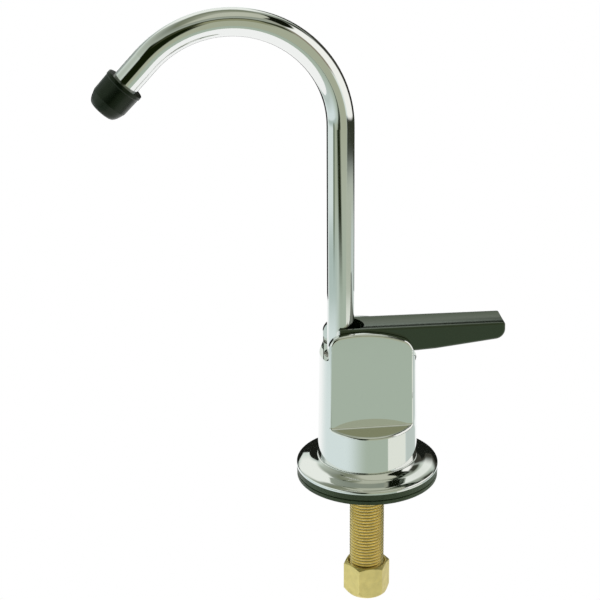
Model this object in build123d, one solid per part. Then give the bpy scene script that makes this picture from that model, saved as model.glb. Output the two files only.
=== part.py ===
from build123d import *
import math
import os

# Drinking water filter tap, with a swan-neck spout, a press lever and a
# self-closing cartridge valve. All sizes are in millimetres.
# The origin is on the shank's axis, on the deck that the base gasket rests on.
# +Z is up, +X is along the lever, and -X is towards the outlet.

# Clearances that every piece shares, and the overrun of every cut
STATIC_GAP = 0.03
RUNNING_GAP = 0.05
FREE_GAP = 0.30
OVERRUN = 2.0

# Supply tube that the nut grips
TUBE_R = 3.175
TUBE_PLAY = 0.075

# Threaded shank, at the outside radius of its 7/16-24 thread
SHANK_R = 5.55
SHANK_IN_BODY = 7.85
SHANK_END_CHAMFER = 0.6
TUBE_SOCKET_DEPTH = 6.0
TUBE_STOP = 0.35
SHANK_CONE_DEPTH = 1.35

# Compression nut and its ferrule
NUT_WALL = 1.05
NUT_TOP_BELOW_DECK = 32.2
NUT_H = 11.0
NUT_BASE_WALL = 2.2
NUT_TOP_CHAMFER_H = 0.75
NUT_FOOT_CHAMFER_H = 1.4
NUT_FOOT_INSET = 0.35
NUT_MOUTH_FLARE = 0.55
NUT_TURN = 3.0
FERRULE_H = 3.0
FERRULE_WALL = 1.25
FERRULE_SPACE = 2.6
FERRULE_EDGE_WALL = 0.35
FERRULE_BELLY_SHARE = 0.45

# Pressed escutcheon dish, outwards from the body's foot
DISH_SHEET = 0.8
DISH_RISE = 3.65
DISH_PAD_OVERHANG = 0.15
DISH_VALLEY_OUT = 1.1
DISH_VALLEY_H = 2.35
DISH_VALLEY_ROUND = 1.2
DISH_CREST_OUT = 2.1
DISH_CREST_H = 2.55
DISH_CREST_ROUND = 6.0
DISH_BROW_OUT = 2.6
DISH_BROW_H = 2.0
DISH_BROW_ROUND = 2.8
DISH_LIP_OUT = 1.0
DISH_LIP_H = 0.9
DISH_LIP_ROUND = 1.2

# Rubber base gasket, inwards from the dish's lip
GASKET_INSET = 0.1
GASKET_H = 3.5
GASKET_FOOT_STEP = 0.05
GASKET_FOOT_H = 1.3
GASKET_GROOVE = 0.35
GASKET_RIM_W = 1.9
GASKET_WELL_DEPTH = 0.9
SHANK_HOLE_PLAY = 0.35

# Body casting
BODY_FOOT_R = 15.8
BODY_TAPER = 0.65
SHOULDER_STEP = 1.85
SHOULDER_ROUND = 1.45
CHEEK_H = 9.2
CHEEK_CROWN_R = 36.0
CHEEK_CROWN_BACK = 3.5
CHEEK_REAR_CORNER_R = 4.0
CHEEK_FRONT_CORNER_R = 5.0
CHEEK_WALL_LOW = 2.5
CHEEK_WALL_TOP = 2.2
LEDGE_H = 12.95
LEDGE_FALL = 0.4
LEDGE_ROOT_R = 0.5
FLAT_EDGE_R = 0.8
FOOT_EDGE_R = 0.5
SLOT_PLAY = 0.2
REAR_FLOOR_DROP = 1.45
REAR_FLOOR_REACH = 6.2
FOOT_WALL = 2.8
FOOT_RECESS_DEPTH = 3.4
FOOT_BOSS_WALL = 3.05
INLET_WEB = 1.8
INLET_OVERLAP = 2.4

# The two vertical bores and the lever's pivot
SPOUT_BORE_WALL = 1.32
BORE_SPACING = 12.23
PIVOT_ABOVE_SHOULDER = 4.25

# Swan-neck spout
SPOUT_R = 4.2
SPOUT_WALL = 0.8
SPOUT_RISE = 74.1
BEND_R = 33.0
BEND_ANGLE = 137.1
SPOUT_DROP = 16.0

# Brazed journal, seals and bearing at the spout's foot
JOURNAL_WALL = 0.92
JOURNAL_RING_HEIGHTS = (3.0, 6.4)
SPOUT_PORT_REACH = 2.1
BUSHING_H = 2.0
BUSHING_LIFT = 0.2
CLIP_H = 0.7
CLIP_SINK = 0.32
CLIP_SEAT_DEPTH = 0.4
CLIP_MOUTH = 4.4

# O-ring sections and the grooves that hold them
RING_SECTION_R = 0.33
RING_PLAY = 0.01
RING_GROOVE_H = 1.0
RING_GROOVE_DEPTH = 0.66

# Rubber spout tip
TIP_SOCKET_DEPTH = 7.0
TIP_WALL = 1.75
TIP_WAIST_INSET = 0.15
TIP_LIP_OUT = 0.3
TIP_LIP_H = 0.8
TIP_SIDE_H = 7.2
TIP_NOSE_H = 3.65
TIP_NOSE_BULGE = 0.55
TIP_OUTLET_R = 2.7
TIP_MOUTH_WALL = 1.1

# Cartridge bonnet, screwed into the valve bore
VALVE_BORE_R = 5.0
BONNET_SEAT_DEPTH = 1.1
BONNET_HEAD_H = 1.2
BONNET_HEAD_INSET = 0.1
BONNET_LENGTH = 17.3
BONNET_WALL = 1.8
BONNET_CHAMBER_H = 7.2
BONNET_PORT_R = 1.3
BONNET_PORT_H = 4.2
BONNET_WAIST_DEPTH = 0.65
BONNET_WAIST_H = 3.2
BONNET_RING_HEIGHTS = (1.5, 7.6)
SPRING_WELL_DEPTH = 6.0
GLAND_RING_H = 9.6

# Stem assembly
STEM_R = 1.6
STEM_CAP_H = 1.6
CAM_GAP = 0.12
WASHER_OVERLAP = 0.7
WASHER_H = 2.2
WASHER_HOLE_R = 1.0
SEAT_GAP = 0.05
CUP_FLOOR = 0.8
CUP_RIM = 0.55
CUP_RIM_H = 1.2
SCREW_R = 0.9
SCREW_HEAD_RIM = 0.8
SCREW_HEAD_H = 0.9
SCREW_GRIP = 3.4
SCREW_SLOT = 0.45
STEM_FOOT_ROOM = 1.8

# Return spring, which stands in the bonnet's well under the cap
SPRING_WIRE_R = 0.28
SPRING_MEAN_R = 2.7
SPRING_TURNS = 6.5
SPRING_WELL_PLAY = 0.67
STEM_CAP_OVERHANG = 0.42

# Lever, along X from the spout's axis
LEVER_TOP_H_TIP = 5.70
LEVER_TOP_H_END = 5.06
LEVER_TIP_AHEAD = 0.97
LEVER_LENGTH = 51.2
LEVER_END_LEAN = 0.1
LEVER_END_DEPTH = 5.16
LEVER_BELLY_RUN = 5.8
LEVER_BELLY_H = 0.25
LEVER_HEEL = 23.33
LEVER_TAPER = 0.35
LEVER_TOP_EDGE_R = 0.6
LEVER_DISH_R = 20.0
LEVER_DISH_DEPTH = 0.5
LEVER_LOW_EDGE_R = 0.7
LEVER_END_CORNER_R = 3.2
HUB_R = 2.65
FORK_ARM = 1.1
FORK_APEX_BEHIND = 7.43
TRUNNION_R = 1.6
TRUNNION_OUT = 1.3
CAM_R = 1.2
CAM_POCKET_HALF_Y = 4.0
CAM_POCKET_BEHIND = 3.8
CAM_POCKET_AHEAD = 5.1
CAM_POCKET_ABOVE_PIVOT = 0.6
CORE_START = 2.5
CORE_CELLS = 3
CORE_CELL_LENGTH = 6.0
CORE_RIB = 1.2
CORE_WALL = 1.5
CORE_ROOF = 2.4

# Radii and half widths that follow from the sizes above
TUBE_SOCKET_R = TUBE_R + TUBE_PLAY
SHANK_BORE_R = TUBE_SOCKET_R - TUBE_STOP
SHANK_HOLE_R = SHANK_R + SHANK_HOLE_PLAY
NUT_FLAT_R = SHANK_R + NUT_WALL
FERRULE_R = TUBE_SOCKET_R + FERRULE_WALL
DISH_VALLEY_R = BODY_FOOT_R + DISH_VALLEY_OUT
DISH_CREST_R = DISH_VALLEY_R + DISH_CREST_OUT
DISH_BROW_R = DISH_CREST_R + DISH_BROW_OUT
DISH_R = DISH_BROW_R + DISH_LIP_OUT
GASKET_R = DISH_R - GASKET_INSET
GASKET_FOOT_R = GASKET_R - GASKET_FOOT_STEP
GASKET_WELL_R = GASKET_R - GASKET_RIM_W
BODY_SHOULDER_R = BODY_FOOT_R - BODY_TAPER
CHEEK_HALF_LENGTH = BODY_SHOULDER_R - SHOULDER_STEP
JOURNAL_R = SPOUT_R + STATIC_GAP + JOURNAL_WALL
SPOUT_BORE_R = JOURNAL_R + RUNNING_GAP
FORK_HALF_GAP = SPOUT_R + FREE_GAP
LEVER_HALF_AT_PIVOT = FORK_HALF_GAP + FORK_ARM
LEVER_HALF_AT_END = LEVER_HALF_AT_PIVOT - LEVER_TAPER
SLOT_HALF = LEVER_HALF_AT_PIVOT + SLOT_PLAY
FLAT_HALF_LOW = SLOT_HALF + CHEEK_WALL_LOW
FLAT_HALF_TOP = SLOT_HALF + CHEEK_WALL_TOP
TIP_R = SPOUT_R + TIP_WALL
TIP_NOSE_R = TIP_OUTLET_R + TIP_MOUTH_WALL
BONNET_R = VALVE_BORE_R - STATIC_GAP
BONNET_CHAMBER_R = VALVE_BORE_R - BONNET_WALL
WASHER_R = BONNET_CHAMBER_R + WASHER_OVERLAP
SPRING_WELL_R = SPRING_MEAN_R + SPRING_WIRE_R + SPRING_WELL_PLAY
STEM_CAP_R = SPRING_MEAN_R + SPRING_WIRE_R + STEM_CAP_OVERHANG
RING_REACH = RING_SECTION_R + RING_PLAY

# Places along X of the two bores and of the lever's heel and end
SPOUT_X = -(BODY_SHOULDER_R - SPOUT_BORE_WALL - SPOUT_BORE_R)
VALVE_X = SPOUT_X + BORE_SPACING
LEVER_HEEL_X = SPOUT_X + LEVER_HEEL
LEVER_END_X = SPOUT_X + LEVER_LENGTH

# Heights, stacked up from the deck plane and down from it to the nut
BODY_FOOT_Z = GASKET_H + DISH_RISE
LEDGE_Z = BODY_FOOT_Z + LEDGE_H
SHANK_TOP_Z = BODY_FOOT_Z + SHANK_IN_BODY
VALVE_BORE_FLOOR_Z = SHANK_TOP_Z + INLET_WEB
SEAT_Z = VALVE_BORE_FLOOR_Z + STEM_FOOT_ROOM + SCREW_HEAD_H + CUP_FLOOR + WASHER_H
PORT_Z = SEAT_Z + BONNET_PORT_H
BONNET_HEAD_Z = SEAT_Z + BONNET_LENGTH
BONNET_TOP_Z = BONNET_HEAD_Z + BONNET_HEAD_H
SPRING_FOOT_Z = BONNET_TOP_Z - SPRING_WELL_DEPTH
REAR_FLOOR_Z = BONNET_HEAD_Z + BONNET_SEAT_DEPTH
SHOULDER_Z = REAR_FLOOR_Z + REAR_FLOOR_DROP
BODY_TOP_Z = SHOULDER_Z + CHEEK_H
PIVOT_Z = SHOULDER_Z + PIVOT_ABOVE_SHOULDER
CAP_TOP_Z = PIVOT_Z - CAM_R - CAM_GAP
CAP_FOOT_Z = CAP_TOP_Z - STEM_CAP_H
WASHER_TOP_Z = SEAT_Z - SEAT_GAP
WASHER_FOOT_Z = WASHER_TOP_Z - WASHER_H
CLIP_FOOT_Z = SHOULDER_Z - CLIP_SINK - CLIP_H
BUSHING_FOOT_Z = CLIP_FOOT_Z - STATIC_GAP - BUSHING_H
JOURNAL_TOP_Z = BUSHING_FOOT_Z - BUSHING_LIFT
SPOUT_FOOT_Z = PORT_Z + SPOUT_PORT_REACH
SPOUT_WELL_Z = PORT_Z - SPOUT_PORT_REACH
BEND_Z = SHOULDER_Z + SPOUT_RISE
NUT_TOP_Z = -NUT_TOP_BELOW_DECK
NUT_FOOT_Z = NUT_TOP_Z - NUT_H
SHANK_END_Z = NUT_FOOT_Z + NUT_BASE_WALL + FERRULE_SPACE


# A solid turned about a vertical axis at x, from a closed run of (radius, height) corners
def turned(corners, x=0):
    face = make_face(Plane.XZ * Polyline(*corners, close=True))
    return Pos(x, 0, 0) * revolve(face, axis=Axis.Z)


# An upright cylinder from one height to another
def post(radius, low, high, x=0):
    return Pos(x, 0, low) * Cylinder(radius, high - low, align=(Align.CENTER, Align.CENTER, Align.MIN))


# A block between two corners given as ranges along X, Y and Z
def block(x_range, y_range, z_range):
    size = [high - low for low, high in (x_range, y_range, z_range)]
    low = [r[0] for r in (x_range, y_range, z_range)]
    return Pos(*low) * Box(*size, align=(Align.MIN, Align.MIN, Align.MIN))


# An O-ring lying flat about a vertical axis at x
def o_ring(mean_radius, height, x):
    return Pos(x, 0, height) * Torus(mean_radius, RING_SECTION_R)


# The groove that an O-ring sits in, cut inwards from an outside radius
def outer_groove(outside_radius, height, x):
    half = RING_GROOVE_H / 2
    ring = post(outside_radius + OVERRUN, height - half, height + half, x)
    return ring - post(outside_radius - RING_GROOVE_DEPTH, height - half, height + half, x)


def base_gasket():
    groove_z = GASKET_FOOT_H
    return turned([
        (SHANK_HOLE_R, 0),
        (GASKET_FOOT_R, 0),
        (GASKET_FOOT_R, groove_z - GASKET_GROOVE / 2),
        (GASKET_FOOT_R - GASKET_GROOVE, groove_z),
        (GASKET_R, groove_z + GASKET_GROOVE),
        (GASKET_R, GASKET_H),
        (GASKET_WELL_R, GASKET_H),
        (GASKET_WELL_R, GASKET_H - GASKET_WELL_DEPTH),
        (SHANK_HOLE_R, GASKET_H - GASKET_WELL_DEPTH),
    ])


# The dish is one pressed sheet: a flat pad under the body, a narrow valley round
# it, a broad crest that rolls over, and a turned-down lip that bears on the gasket
def escutcheon():
    def skin(inwards, down):
        foot = GASKET_H
        edge = DISH_R - inwards
        corners = [
            (SHANK_HOLE_R, BODY_FOOT_Z - down),
            (BODY_FOOT_R + DISH_PAD_OVERHANG - inwards / 2, BODY_FOOT_Z - down),
            (DISH_VALLEY_R - inwards / 2, foot + DISH_VALLEY_H - down),
            (DISH_CREST_R, foot + DISH_CREST_H - down),
            (DISH_BROW_R - inwards / 3, foot + DISH_BROW_H - down),
            (edge, foot + DISH_LIP_H - down / 4),
            (edge, foot),
        ]
        rounds = [
            DISH_SHEET / 4,
            DISH_VALLEY_ROUND,
            DISH_CREST_ROUND,
            DISH_BROW_ROUND - inwards * 2,
            DISH_LIP_ROUND - inwards,
        ]
        return FilletPolyline(*corners, radius=rounds), corners

    top, top_corners = skin(0, 0)
    under, under_corners = skin(DISH_SHEET, DISH_SHEET)
    rim = Line(top_corners[-1], under_corners[-1])
    hole = Line(under_corners[0], top_corners[0])
    face = make_face(Plane.XZ * (top + rim + under + hole))
    return revolve(face, axis=Axis.Z)


def shank():
    end_z = SHANK_END_Z
    return turned([
        (SHANK_BORE_R, SHANK_TOP_Z),
        (SHANK_BORE_R, end_z + TUBE_SOCKET_DEPTH),
        (TUBE_SOCKET_R, end_z + TUBE_SOCKET_DEPTH),
        (TUBE_SOCKET_R, end_z + SHANK_CONE_DEPTH),
        (TUBE_SOCKET_R + SHANK_CONE_DEPTH, end_z),
        (SHANK_R - SHANK_END_CHAMFER, end_z),
        (SHANK_R, end_z + SHANK_END_CHAMFER),
        (SHANK_R, SHANK_TOP_Z - SHANK_END_CHAMFER),
        (SHANK_R - SHANK_END_CHAMFER, SHANK_TOP_Z),
    ])


# Hexagon nut: both ends are turned to a cone, the foot more deeply, and the
# inside has the thread bore, the cone that squeezes the ferrule and the tube hole
def compression_nut():
    corner_r = NUT_FLAT_R * 2 / math.sqrt(3)
    blank = extrude(RegularPolygon(corner_r, 6, rotation=NUT_TURN), NUT_H)
    top_r = corner_r - NUT_TOP_CHAMFER_H * math.sqrt(3)
    turned_outside = turned([
        (0, NUT_FOOT_Z),
        (NUT_FLAT_R - NUT_FOOT_INSET, NUT_FOOT_Z),
        (corner_r, NUT_FOOT_Z + NUT_FOOT_CHAMFER_H),
        (corner_r, NUT_TOP_Z - NUT_TOP_CHAMFER_H),
        (top_r, NUT_TOP_Z),
        (0, NUT_TOP_Z),
    ])
    thread_r = SHANK_R + STATIC_GAP
    cone_top_z = NUT_FOOT_Z + NUT_BASE_WALL + FERRULE_R - TUBE_SOCKET_R
    hollow = turned([
        (0, NUT_FOOT_Z - OVERRUN),
        (TUBE_SOCKET_R, NUT_FOOT_Z - OVERRUN),
        (TUBE_SOCKET_R, NUT_FOOT_Z + NUT_BASE_WALL),
        (FERRULE_R + STATIC_GAP, cone_top_z),
        (thread_r, cone_top_z),
        (thread_r, NUT_TOP_Z - NUT_MOUTH_FLARE),
        (thread_r + NUT_MOUTH_FLARE, NUT_TOP_Z),
        (thread_r + NUT_MOUTH_FLARE, NUT_TOP_Z + OVERRUN),
        (0, NUT_TOP_Z + OVERRUN),
    ])
    return (Pos(0, 0, NUT_FOOT_Z) * blank) & turned_outside - hollow


# Brass sleeve with a cone at each end, between the nut's cone and the shank's
def compression_ferrule():
    foot_z = NUT_FOOT_Z + NUT_BASE_WALL + RUNNING_GAP
    belly_z = foot_z + FERRULE_H * FERRULE_BELLY_SHARE
    edge_r = TUBE_SOCKET_R + FERRULE_EDGE_WALL
    return turned([
        (TUBE_SOCKET_R, foot_z + FERRULE_EDGE_WALL),
        (edge_r, foot_z + FERRULE_EDGE_WALL),
        (FERRULE_R, belly_z + FERRULE_EDGE_WALL),
        (edge_r, foot_z + FERRULE_H),
        (TUBE_SOCKET_R, foot_z + FERRULE_H),
    ])


def shank_o_ring():
    return o_ring(SHANK_R + RING_REACH, BODY_FOOT_Z + RING_GROOVE_H / 2, 0)


# Height of the cheeks' crowned top, which is highest a little behind the body's axis
def crown_z(x):
    return BODY_TOP_Z - CHEEK_CROWN_R + math.sqrt(CHEEK_CROWN_R ** 2 - (x + CHEEK_CROWN_BACK) ** 2)


# Side view of the casting: flanks, shoulders and the crowned cheeks with their rounded corners
def body_side_view():
    outer = BODY_FOOT_R + OVERRUN
    rear = (-CHEEK_HALF_LENGTH, crown_z(-CHEEK_HALF_LENGTH))
    front = (CHEEK_HALF_LENGTH, crown_z(CHEEK_HALF_LENGTH))
    crown = ThreePointArc(front, (-CHEEK_CROWN_BACK, BODY_TOP_Z), rear)
    flanks = Polyline(
        rear,
        (-CHEEK_HALF_LENGTH, SHOULDER_Z),
        (-outer, SHOULDER_Z),
        (-outer, BODY_FOOT_Z),
        (outer, BODY_FOOT_Z),
        (outer, SHOULDER_Z),
        (CHEEK_HALF_LENGTH, SHOULDER_Z),
        front,
    )
    face = make_face(Plane.XZ * (crown + flanks))
    for corner_x, radius in ((rear[0], CHEEK_REAR_CORNER_R), (front[0], CHEEK_FRONT_CORNER_R)):
        corner = [v for v in face.vertices() if v.Z > PIVOT_Z and abs(v.X - corner_x) < STATIC_GAP]
        face = fillet(corner, radius)
    inner_corners = [
        v for v in face.vertices()
        if abs(v.Z - SHOULDER_Z) < STATIC_GAP and abs(abs(v.X) - CHEEK_HALF_LENGTH) < STATIC_GAP
    ]
    face = fillet(inner_corners, SHOULDER_ROUND)
    return extrude(face, outer, both=True)


# The metal taken off each side to leave a leaning flat above a sloping ledge,
# with a small round where they meet
def side_flat(side):
    outer = BODY_FOOT_R + OVERRUN
    lean = (FLAT_HALF_LOW - FLAT_HALF_TOP) / (BODY_TOP_Z - LEDGE_Z)
    fall = LEDGE_FALL / (BODY_FOOT_R - FLAT_HALF_LOW)
    corners = [
        (side * FLAT_HALF_LOW, LEDGE_Z),
        (side * (FLAT_HALF_TOP - lean * OVERRUN), BODY_TOP_Z + OVERRUN),
        (side * outer, BODY_TOP_Z + OVERRUN),
        (side * outer, LEDGE_Z - fall * (outer - FLAT_HALF_LOW)),
    ]
    face = make_face(Plane.YZ * Polyline(*corners, close=True))
    root = face.vertices().sort_by_distance((0, *corners[0]))[0]
    face = fillet(root, LEDGE_ROOT_R)
    return extrude(face, outer, both=True)


# Radius of the casting's cone at a height
def body_radius(z):
    taper = BODY_TAPER / (SHOULDER_Z - BODY_FOOT_Z)
    return BODY_FOOT_R - taper * (z - BODY_FOOT_Z)


def body_casting():
    solid = turned([
        (0, BODY_FOOT_Z),
        (BODY_FOOT_R, BODY_FOOT_Z),
        (body_radius(BODY_TOP_Z), BODY_TOP_Z),
        (0, BODY_TOP_Z),
    ])
    solid &= body_side_view()
    solid -= side_flat(1)
    solid -= side_flat(-1)

    flats = [f for f in solid.faces().filter_by(GeomType.PLANE) if abs(f.normal_at().Y) > math.sqrt(3) / 2]
    outline = [e for f in flats for e in f.edges() if e.center().Z > LEDGE_Z + FLAT_EDGE_R]
    lip_z = LEDGE_Z - LEDGE_FALL
    lips = [
        e for e in solid.edges()
        if abs(e.center().Z - lip_z) < LEDGE_FALL and abs(e.center().Y) > FLAT_HALF_LOW + FLAT_EDGE_R
    ]
    solid = fillet(outline + lips, FLAT_EDGE_R)
    foot = solid.edges().filter_by(GeomType.CIRCLE).group_by(Axis.Z)[0]
    return fillet(foot, FOOT_EDGE_R)


# The casting machined: lever slot, spout and valve bores, waterways, the
# shank's thread bore with its seal seat, and the sockets for the trunnions
def body():
    solid = body_casting()
    outer = BODY_FOOT_R + OVERRUN
    slot_y = (-SLOT_HALF, SLOT_HALF)
    above = BODY_TOP_Z + OVERRUN
    solid -= block((-outer, outer), slot_y, (SHOULDER_Z, above))
    solid -= block((VALVE_X - REAR_FLOOR_REACH, outer), slot_y, (REAR_FLOOR_Z, above))

    solid -= post(SPOUT_BORE_R, SPOUT_WELL_Z, above, SPOUT_X)
    clip_r = SPOUT_BORE_R + CLIP_SEAT_DEPTH
    solid -= post(clip_r, CLIP_FOOT_Z, CLIP_FOOT_Z + CLIP_H + STATIC_GAP, SPOUT_X)

    solid -= post(VALVE_BORE_R, VALVE_BORE_FLOOR_Z, above, VALVE_X)
    solid -= post(SLOT_HALF, BONNET_HEAD_Z, above, VALVE_X)
    port = Rot(0, 90, 0) * post(BONNET_PORT_R, 0, BORE_SPACING)
    solid -= Pos(SPOUT_X, 0, PORT_Z) * port

    recess = (BODY_FOOT_Z - OVERRUN, BODY_FOOT_Z + FOOT_RECESS_DEPTH)
    solid -= post(BODY_FOOT_R - FOOT_WALL, *recess) - post(SHANK_R + FOOT_BOSS_WALL, *recess)
    solid -= post(SHANK_R + STATIC_GAP, BODY_FOOT_Z - OVERRUN, SHANK_TOP_Z + STATIC_GAP)
    solid -= post(SHANK_BORE_R, SHANK_TOP_Z, VALVE_BORE_FLOOR_Z + INLET_OVERLAP)
    ring_r = SHANK_R + STATIC_GAP * 2 + RING_SECTION_R * 2
    solid -= post(ring_r, BODY_FOOT_Z - OVERRUN, BODY_FOOT_Z + RING_GROOVE_H)

    reach = LEVER_HALF_AT_PIVOT + TRUNNION_OUT + FREE_GAP / 2
    socket = Rot(90, 0, 0) * Cylinder(TRUNNION_R + RUNNING_GAP, reach * 2)
    solid -= Pos(SPOUT_X, 0, PIVOT_Z) * socket
    return solid


# The centre line of the spout: a straight rise, one round bend and a straight drop
def spout_route():
    rise = Line((SPOUT_X, SPOUT_FOOT_Z), (SPOUT_X, BEND_Z))
    bend = JernArc(start=rise @ 1, tangent=rise % 1, radius=BEND_R, arc_size=BEND_ANGLE)
    drop = Line(bend @ 1, bend @ 1 + (bend % 1) * SPOUT_DROP)
    return Plane.XZ * Wire([rise, bend, drop])


def spout_tube():
    route = spout_route()
    section = Circle(SPOUT_R) - Circle(SPOUT_R - SPOUT_WALL)
    return sweep(Plane(origin=route @ 0, z_dir=route % 0) * section, path=route)


# The tip is turned about its own axis, its socket downwards from the lip,
# and then carried to the end of the spout
def spout_tip():
    socket_r = SPOUT_R + STATIC_GAP
    waist_r = TIP_R - TIP_WAIST_INSET
    nose_z = TIP_SIDE_H + TIP_NOSE_H
    side = Polyline(
        (TIP_OUTLET_R, TIP_SOCKET_DEPTH),
        (socket_r, TIP_SOCKET_DEPTH),
        (socket_r, 0),
        (TIP_R + TIP_LIP_OUT, 0),
        (TIP_R + TIP_LIP_OUT, TIP_LIP_H),
        (TIP_R, TIP_LIP_H),
        (waist_r, TIP_SIDE_H),
    )
    nose_mid = (
        (waist_r + TIP_NOSE_R) / 2 + TIP_NOSE_BULGE,
        TIP_SIDE_H + TIP_NOSE_H / 2 + TIP_NOSE_BULGE,
    )
    nose = ThreePointArc((waist_r, TIP_SIDE_H), nose_mid, (TIP_NOSE_R, nose_z))
    mouth = Polyline((TIP_NOSE_R, nose_z), (TIP_OUTLET_R, nose_z), (TIP_OUTLET_R, TIP_SOCKET_DEPTH))
    face = make_face(Plane.XZ * (side + nose + mouth))
    tip = revolve(face, axis=Axis.Z)
    route = spout_route()
    end = route @ 1 - (route % 1) * TIP_SOCKET_DEPTH
    return Plane(origin=end, z_dir=route % 1).location * tip


# Brass sleeve brazed to the spout's foot, which turns in the body's bore
def spout_journal():
    solid = post(JOURNAL_R, SPOUT_FOOT_Z, JOURNAL_TOP_Z, SPOUT_X)
    solid -= post(SPOUT_R + STATIC_GAP, SPOUT_FOOT_Z - OVERRUN, JOURNAL_TOP_Z + OVERRUN, SPOUT_X)
    for height in JOURNAL_RING_HEIGHTS:
        solid -= outer_groove(JOURNAL_R, SPOUT_FOOT_Z + height, SPOUT_X)
    return solid


def spout_o_ring(index):
    return o_ring(SPOUT_BORE_R - RING_REACH, SPOUT_FOOT_Z + JOURNAL_RING_HEIGHTS[index], SPOUT_X)


def spout_bushing():
    top = BUSHING_FOOT_Z + BUSHING_H
    ring = post(SPOUT_BORE_R - STATIC_GAP, BUSHING_FOOT_Z, top, SPOUT_X)
    return ring - post(SPOUT_R + RUNNING_GAP, BUSHING_FOOT_Z - OVERRUN, top + OVERRUN, SPOUT_X)


# Split ring that springs into the groove above the bushing
def spout_retaining_ring():
    top = CLIP_FOOT_Z + CLIP_H
    ring = post(SPOUT_BORE_R + CLIP_SEAT_DEPTH - STATIC_GAP, CLIP_FOOT_Z, top, SPOUT_X)
    ring -= post(SPOUT_R + FREE_GAP, CLIP_FOOT_Z - OVERRUN, top + OVERRUN, SPOUT_X)
    far = SPOUT_X - SPOUT_BORE_R - OVERRUN
    half = CLIP_MOUTH / 2
    return ring - block((far, SPOUT_X), (-half, half), (CLIP_FOOT_Z - OVERRUN, top + OVERRUN))


# The bonnet carries the valve seat at its foot, the outlet chamber above it,
# the stem's gland and the well that the return spring stands in
def valve_bonnet():
    corner_r = (VALVE_BORE_R - BONNET_HEAD_INSET) * 2 / math.sqrt(3)
    head = extrude(RegularPolygon(corner_r, 6), BONNET_HEAD_H)
    solid = post(BONNET_R, SEAT_Z, BONNET_HEAD_Z, VALVE_X) + Pos(VALVE_X, 0, BONNET_HEAD_Z) * head
    above = BONNET_TOP_Z + OVERRUN
    solid -= post(STEM_R + RUNNING_GAP, SEAT_Z - OVERRUN, above, VALVE_X)
    solid -= post(BONNET_CHAMBER_R, SEAT_Z - OVERRUN, SEAT_Z + BONNET_CHAMBER_H, VALVE_X)
    solid -= post(SPRING_WELL_R, SPRING_FOOT_Z, above, VALVE_X)
    waist = (PORT_Z - BONNET_WAIST_H / 2, PORT_Z + BONNET_WAIST_H / 2)
    solid -= post(BONNET_R + OVERRUN, *waist, VALVE_X) \
        - post(VALVE_BORE_R - BONNET_WAIST_DEPTH, *waist, VALVE_X)
    solid -= Pos(VALVE_X, 0, PORT_Z) * Rot(0, 90, 0) * Cylinder(BONNET_PORT_R, BONNET_R * 2)
    for height in BONNET_RING_HEIGHTS:
        solid -= outer_groove(BONNET_R, SEAT_Z + height, VALVE_X)
    half = RING_GROOVE_H / 2
    gland_z = SEAT_Z + GLAND_RING_H
    solid -= post(STEM_R + RUNNING_GAP + RING_GROOVE_DEPTH, gland_z - half, gland_z + half, VALVE_X)
    return solid


def bonnet_o_ring(index):
    return o_ring(VALVE_BORE_R - RING_REACH, SEAT_Z + BONNET_RING_HEIGHTS[index], VALVE_X)


def stem_o_ring():
    return o_ring(STEM_R + RING_REACH, SEAT_Z + GLAND_RING_H, VALVE_X)


def valve_stem():
    solid = post(STEM_R, WASHER_TOP_Z, CAP_TOP_Z - STEM_CAP_H / 2, VALVE_X)
    return solid - post(SCREW_R, WASHER_TOP_Z - OVERRUN, WASHER_TOP_Z + SCREW_GRIP + STATIC_GAP, VALVE_X)


# Cap pressed on the stem's head: the lever's cam bears on it, and the spring is under it
def stem_cap():
    blind_z = CAP_TOP_Z - STEM_CAP_H / 2 + STATIC_GAP
    cap = post(STEM_CAP_R, CAP_FOOT_Z, CAP_TOP_Z, VALVE_X)
    cap = fillet(cap.edges().filter_by(GeomType.CIRCLE).group_by(Axis.Z)[-1], STEM_CAP_H / 4)
    return cap - post(STEM_R + STATIC_GAP, CAP_FOOT_Z - OVERRUN, blind_z, VALVE_X)


def valve_washer():
    disc = post(WASHER_R, WASHER_FOOT_Z, WASHER_TOP_Z - STATIC_GAP, VALVE_X)
    return disc - post(WASHER_HOLE_R, WASHER_FOOT_Z - OVERRUN, WASHER_TOP_Z, VALVE_X)


def washer_cup():
    foot = WASHER_FOOT_Z - CUP_FLOOR - STATIC_GAP
    inner_r = WASHER_R + STATIC_GAP
    floor_z = WASHER_FOOT_Z - STATIC_GAP
    cup = post(inner_r + CUP_RIM, foot, floor_z + CUP_RIM_H, VALVE_X)
    cup -= post(inner_r, floor_z, floor_z + CUP_RIM_H + OVERRUN, VALVE_X)
    return cup - post(WASHER_HOLE_R, foot - OVERRUN, floor_z, VALVE_X)


def washer_screw():
    head_top = WASHER_FOOT_Z - CUP_FLOOR - STATIC_GAP * 2
    head_foot = head_top - SCREW_HEAD_H
    screw = post(SCREW_R - STATIC_GAP, head_foot, WASHER_TOP_Z + SCREW_GRIP, VALVE_X)
    head_r = SCREW_R + SCREW_HEAD_RIM
    screw += post(head_r, head_foot, head_top, VALVE_X)
    slot_x = (VALVE_X - head_r - OVERRUN, VALVE_X + head_r + OVERRUN)
    half = SCREW_SLOT / 2
    return screw - block(slot_x, (-half, half), (head_foot - OVERRUN, head_foot + SCREW_SLOT))


def return_spring():
    foot = SPRING_FOOT_Z + SPRING_WIRE_R + STATIC_GAP
    height = CAP_FOOT_Z - SPRING_WIRE_R - STATIC_GAP - foot
    coil = Helix(pitch=height / SPRING_TURNS, height=height, radius=SPRING_MEAN_R)
    wire = Plane(origin=coil @ 0, z_dir=coil % 0) * Circle(SPRING_WIRE_R)
    return Pos(VALVE_X, 0, foot) * sweep(wire, path=coil, is_frenet=True)


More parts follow.
